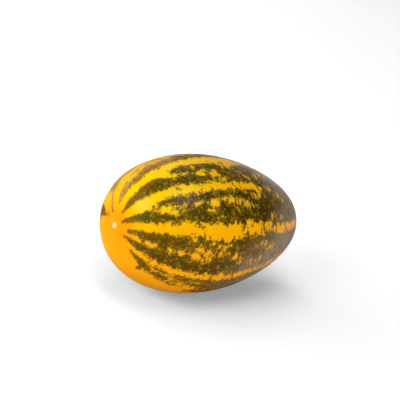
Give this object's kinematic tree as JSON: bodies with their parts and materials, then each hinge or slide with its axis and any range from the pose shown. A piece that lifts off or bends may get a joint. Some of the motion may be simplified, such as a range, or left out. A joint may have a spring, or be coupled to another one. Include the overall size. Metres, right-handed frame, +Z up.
{
  "type": "sambar cucumber",
  "caption": "Egg-shaped ripe striped cucumber, orange-yellow with dark green bands, lying on its side; a fresh vegetable to cook with or set out in food scenes.",
  "frame": {"origin": "on the surface the fruit rests on, under the middle of its bounding box", "axes": "+X along the fruit, from the blunt blossom end to the tapered stem end; +Z up; +Y to the fruit's left as seen from the blossom end looking along +X"},
  "size_m": [0.1386, 0.0848, 0.0845],
  "materials": {
    "skin": "smooth waxy rind, satin to glossy, orange-yellow with ragged dark green stripes from pole to pole"
  },
  "bodies": {
    "root": {"fruit": "skin"}
  },
  "joints": []
}
